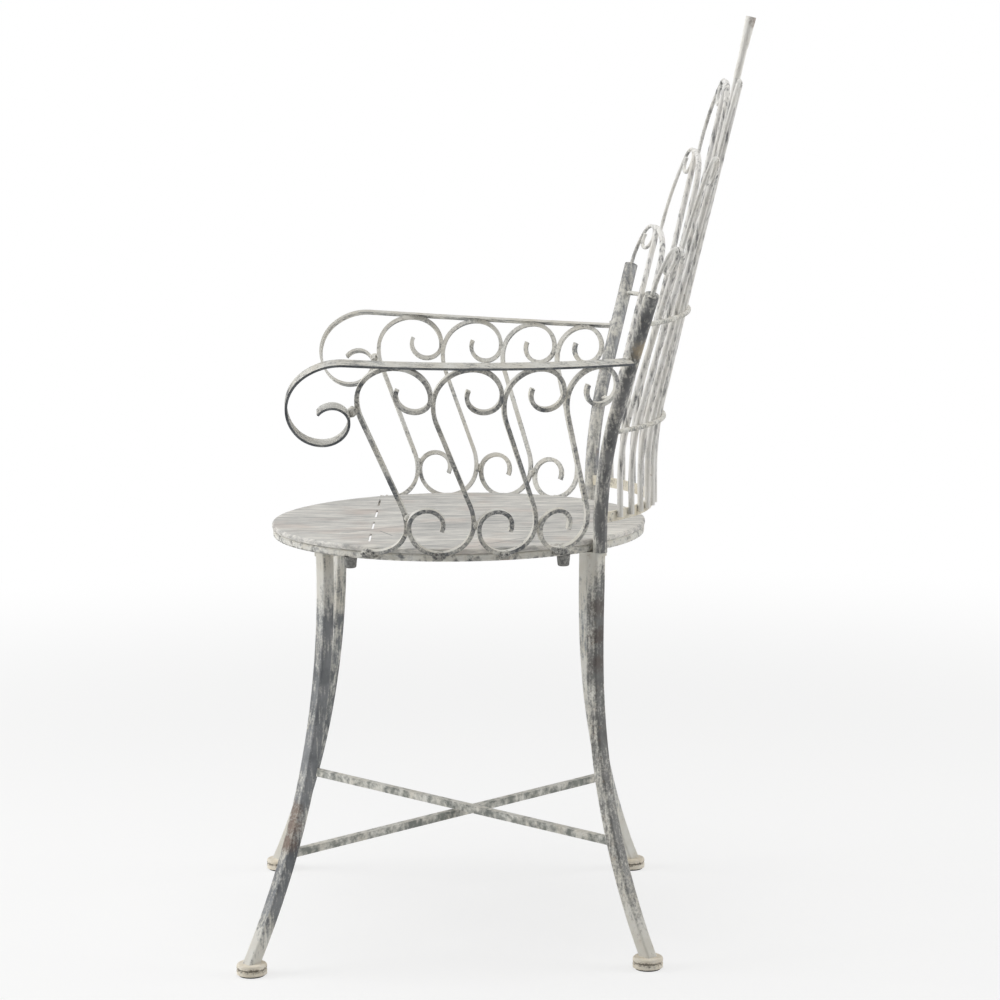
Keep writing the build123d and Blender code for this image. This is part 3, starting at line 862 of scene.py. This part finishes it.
@dataclass
class Back:
    """The posts, the band, the rods and the fan of bars."""

    rods: tuple[str, ...] = ("back_rod_middle", "back_rod_upper")
    kinds: tuple[str, ...] = ("back_ring_bar", "back_shoulder_bar")
    crook: str = "back_crook"
    kept: tuple[tuple[Side, float], ...] = ((Side.LEFT, 0.74), (Side.RIGHT, 0.62))
    joint_mark: Stain = Stain((214.0, 148.0, 652.0), 18.0, "#b3a283", 0.6)
    tip_marks: StainRow = StainRow("back_spire", (985.0,), (0.0, 5.0, 0.0), 14.0, "#7d675a", 0.75)

    def side_bars(self, side: Side) -> list[str]:
        """List the bars on one side of the fan."""
        return [f"{kind}_{tier.value}_{side.value}" for kind in self.kinds for tier in Tier]

    def bars(self) -> list[str]:
        """List all the bars of the fan."""
        return [bar for side in Side for bar in self.side_bars(side)] + ["back_bar_centre"]

    def dress(self) -> None:
        """Paint the back, piece by piece."""
        # The posts' lit_way paints light and shade: paler on their inner and front faces, darker on their
        # outer and rear faces.
        near_post = LimewashedIron("limewash_rubbed_on_near_post", iron="#757575", scale="#4e4f50", kept=0.5,
                                   fleck_mm=3.0, lit_way=(-1.0, -0.5, 0.0), lit_share=0.09,
                                   stains=(self.joint_mark,))
        far_post = LimewashedIron("limewash_rubbed_on_far_post", iron="#868788", scale="#656769", kept=0.36,
                                  fleck_mm=3.0, lit_way=(1.0, -0.5, 0.0), rust_share=0.05)
        caps = LimewashedIron("limewash_on_post_caps", kept=0.36, patch_mm=10.0, brush=Brush.ALL_WAYS)
        band = LimewashedIron("cream_limewash_on_back_band", wash="#e6e1d2", warm_wash="#d8cfba", kept=0.74,
                              rust_share=0.07, brush=Brush.ALL_WAYS, patch_mm=14.0)
        rod = LimewashedIron("limewash_rubbed_on_back_rods", iron="#85867f", scale="#66686a", kept=0.58,
                             brush=Brush.ALL_WAYS, patch_mm=16.0)
        spire = LimewashedIron("limewash_rubbed_on_spire", wash="#fbfaf6", warm_wash="#f4f1e9",
                               iron="#b7b5b0", scale="#989692", kept=0.8, brush=Brush.LONG_UPRIGHT,
                               rust_share=0.05, rust="#9a8676", stains=self.tip_marks.marks())
        paint(["back_post_left"], near_post.material())
        paint(["back_post_right"], far_post.material())
        paint([f"post_cap_{side.value}" for side in Side], caps.material())
        paint(["back_band"], band.material())
        for side, kept in self.kept:
            fan = LimewashedIron(f"limewash_rubbed_on_{side.value}_fan_bars", wash="#f2f1ee",
                                 warm_wash="#e8e5de", iron="#7c7d7e", scale="#56585a", kept=kept,
                                 brush=Brush.LONG_UPRIGHT, patch_share=0.22, fleck_share=0.12).material()
            wire = LimewashedIron(f"limewash_rubbed_on_{side.value}_crooks", wash="#efeeea",
                                  warm_wash="#e4e1d9", iron="#808181", scale="#5e6062", kept=kept,
                                  streak_mm=6.0).material()
            paint(self.side_bars(side), fan)
            paint([f"{self.crook}_{tier.value}_{side.value}" for tier in Tier], wire)
        # The middle bar wears the same finish as the bars of the last side, the right.
        paint(["back_bar_centre"], fan)
        paint(list(self.rods), rod.material())
        paint(["back_spire"], spire.material())
        weld = LimewashedIron("limewash_on_weld_drops", iron="#86837d", kept=0.6, patch_mm=8.0,
                              brush=Brush.ALL_WAYS, rust_share=0.06).material()
        feet = [Meeting(bar, "back_band") for bar in self.bars()]
        WeldRow("welds_band", feet, radius_mm=2.6, drops=2).build(weld)
        posts = [f"back_post_{side.value}" for side in Side]
        held = [Meeting(rod, other) for rod in self.rods for other in self.bars() + posts]
        WeldRow("welds_rods", held, radius_mm=2.3, drops=2).build(weld)


@dataclass
class Arms:
    """The rails and the scrolls below them."""

    scrolls: int = 4
    volute_middle_mm: float = 630.0

    def names(self, side: Side) -> list[str]:
        """List one side's scrolls from the front."""
        return [f"arm_scroll_{number}_{side.value}" for number in range(1, self.scrolls + 1)]

    def dress(self) -> None:
        """Paint the rails, the scrolls and the clips, and weld them."""
        # The scrolls' and rails' lit_way paints light and shade: paler on their top and inner faces, darker
        # on their outer and under faces.
        near = LimewashedIron("limewash_rubbed_on_near_scrolls", iron="#727476", scale="#484c50", kept=0.76,
                              lit_way=(-0.8, -0.2, 0.6), lit_share=0.11, brush=Brush.ALL_WAYS, patch_mm=24.0,
                              patch_share=0.48)
        far = LimewashedIron("limewash_rubbed_on_far_scrolls", iron="#727476", scale="#484c50", kept=0.55,
                             lit_way=(0.8, -0.2, 0.6), lit_share=0.06, brush=Brush.ALL_WAYS, patch_mm=24.0,
                             patch_share=0.48)
        near_rail = LimewashedIron("limewash_brushed_on_near_rail", iron="#696c6f", scale="#404448",
                                   kept=0.48, lit_way=(-0.6, 0.0, 0.8), lit_share=0.15,
                                   brush=Brush.FRONT_TO_BACK, patch_mm=20.0)
        far_rail = LimewashedIron("limewash_brushed_on_far_rail", iron="#727578", scale="#494d51",
                                  kept=0.72, lit_way=(0.6, 0.0, 0.8), lit_share=0.15,
                                  brush=Brush.FRONT_TO_BACK, patch_mm=20.0)
        clip = BlackenedIron("fire_blackened_rim_clips", scale="#85847f", worn="#aeaca5", dust="#d6d3ca")
        clip_material = clip.material()
        weld = LimewashedIron("limewash_on_arm_welds", iron="#86837d", kept=0.6, patch_mm=8.0,
                              brush=Brush.ALL_WAYS, rust_share=0.05).material()
        rim_weld = LimewashedIron("limewash_rubbed_on_rim_welds", iron="#6d6e6e", scale="#454748", kept=0.42,
                                  patch_mm=8.0, brush=Brush.ALL_WAYS, rust_share=0.05).material()
        for side, finish, rail in ((Side.LEFT, near, near_rail), (Side.RIGHT, far, far_rail)):
            scrolls = self.names(side)
            rail_name = f"arm_rail_{side.value}"
            clips_name = f"rim_clips_{side.value}"
            paint(scrolls, finish.material())
            paint([rail_name], rail.material())
            paint([clips_name], clip_material)
            meetings = [Meeting(scroll, rail_name) for scroll in scrolls]
            meetings += [Meeting(ahead, behind) for ahead, behind in zip(scrolls, scrolls[1:])]
            meetings += [Meeting(scrolls[0], rail_name, self.volute_middle_mm)]
            meetings += [Meeting(rail_name, f"back_post_{side.value}")]
            WeldRow(f"welds_arm_{side.value}", meetings, radius_mm=3.0).build(weld)
            clips = [Meeting(scroll, clips_name) for scroll in scrolls]
            WeldRow(f"welds_rim_{side.value}", clips, radius_mm=4.4, lump=0.5).build(rim_weld)


@dataclass
class Studio:
    """The floor, the lamps, the white surround and the camera."""

    floor_reach: float = 2.4
    floor_sides: int = 96
    floor_colour: str = "#f6f6f5"
    shadow_reach: float = 0.9
    shadow_share: float = 0.3
    camera_place: tuple[float, float, float] = (3.188, 0.0009, 0.936)
    camera_dip: float = 8.31
    camera_roll: float = 0.52
    lens_mm: float = 105.9
    sensor_mm: float = 36.0
    surround: float = 0.2
    lamp_aim: tuple[float, float, float] = (0.0, 0.0, 0.5)
    lamps: tuple[tuple[str, tuple[float, float, float], float, float], ...] = (
        ("lamp_above", (0.1, -0.3, 2.9), 2.4, 29.0),
        ("lamp_front", (0.1, -2.4, 1.2), 1.6, 34.0),
        ("lamp_rear", (0.0, 2.4, 1.3), 1.6, 25.0),
    )

    def seen_directly(self, tree: Tree) -> Socket:
        """Tell the rays that see the white surround.

        Args:
            tree: The nodes that take the test.

        Returns:
            1 for camera, glossy and transmission rays.
        """
        path = add_node(tree, "ShaderNodeLightPath")
        either = add_node(tree, "ShaderNodeMath", {
            0: path.outputs["Is Camera Ray"], 1: path.outputs["Is Glossy Ray"]}, operation="MAXIMUM")
        every = add_node(tree, "ShaderNodeMath", {
            0: either.outputs[0], 1: path.outputs["Is Transmission Ray"]}, operation="MAXIMUM")
        return every.outputs[0]

    def lay_floor(self) -> None:
        """Lay the pale floor, which holds the chair's shadow."""
        mesh = bmesh.new()
        bmesh.ops.create_circle(mesh, cap_ends=True, segments=self.floor_sides, radius=self.floor_reach)
        data = bpy.data.meshes.new("studio_floor")
        mesh.to_mesh(data)
        mesh.free()
        floor = bpy.data.objects.new("studio_floor", data)
        bpy.context.scene.collection.objects.link(floor)
        material = blank_material("painted_studio_floor")
        tree = material.node_tree
        pale = add_node(tree, "ShaderNodeBsdfDiffuse", {"Color": linear(self.floor_colour)})
        white = add_node(tree, "ShaderNodeEmission", {"Color": WHITE, "Strength": 1.0})
        place = add_node(tree, "ShaderNodeTexCoord").outputs["Object"]
        away = add_node(tree, "ShaderNodeVectorMath", {0: place}, operation="LENGTH")
        fade = add_node(tree, "ShaderNodeMapRange", {
            "Value": away.outputs["Value"], "From Min": self.shadow_reach, "From Max": self.floor_reach,
            "To Min": 1.0 - self.shadow_share, "To Max": 1.0}, interpolation_type="SMOOTHSTEP")
        share = add_node(tree, "ShaderNodeMath", {0: self.seen_directly(tree), 1: fade.outputs[0]},
                         operation="MULTIPLY")
        both = add_node(tree, "ShaderNodeMixShader", {0: share.outputs[0], 1: pale.outputs[0],
                                                      2: white.outputs[0]})
        add_node(tree, "ShaderNodeOutputMaterial", {"Surface": both.outputs[0]})
        data.materials.append(material)

    def hang_lamps(self) -> None:
        """Hang soft round lamps above, in front of and behind the chair."""
        for name, place, size, watts in self.lamps:
            data = bpy.data.lights.new(name, "AREA")
            data.shape = "DISK"
            data.size = size
            data.energy = watts
            lamp = bpy.data.objects.new(name, data)
            lamp.location = place
            aim = Vector(self.lamp_aim) - lamp.location
            lamp.rotation_euler = aim.to_track_quat("-Z", "Y").to_euler()
            bpy.context.scene.collection.objects.link(lamp)

    def surround_with_white(self) -> None:
        """Light the chair from all round, with white behind it."""
        world = bpy.data.worlds.new("white_surround")
        bpy.context.scene.world = world
        world.use_nodes = True
        tree = world.node_tree
        tree.nodes.clear()
        strength = add_node(tree, "ShaderNodeMapRange", {
            "Value": self.seen_directly(tree), "To Min": self.surround, "To Max": 1.0})
        glow = add_node(tree, "ShaderNodeBackground", {
            "Color": WHITE, "Strength": strength.outputs[0]})
        add_node(tree, "ShaderNodeOutputWorld", {"Surface": glow.outputs[0]})

    def set_camera(self) -> None:
        """Stand the camera at the chair's left side, a little above the seat."""
        data = bpy.data.cameras.new("side_camera")
        data.lens = self.lens_mm
        data.sensor_width = self.sensor_mm
        camera = bpy.data.objects.new("side_camera", data)
        turn = (Matrix.Rotation(math.radians(90.0), 4, "Z")
                @ Matrix.Rotation(math.radians(90.0 - self.camera_dip), 4, "X")
                @ Matrix.Rotation(math.radians(-self.camera_roll), 4, "Z"))
        camera.matrix_world = Matrix.Translation(self.camera_place) @ turn
        bpy.context.scene.collection.objects.link(camera)
        bpy.context.scene.camera = camera

    def build(self) -> None:
        """Build the studio."""
        bpy.context.scene.view_settings.view_transform = "Standard"
        self.set_camera()
        self.lay_floor()
        self.hang_lamps()
        self.surround_with_white()


def main() -> None:
    """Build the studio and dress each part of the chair."""
    logging.basicConfig(level=logging.INFO, format="%(message)s")
    Studio().build()
    for part in (Seat(), Legs(), Back(), Arms()):
        part.dress()
        log.info("%s is dressed", type(part).__name__)


if __name__ == "__main__":
    main()
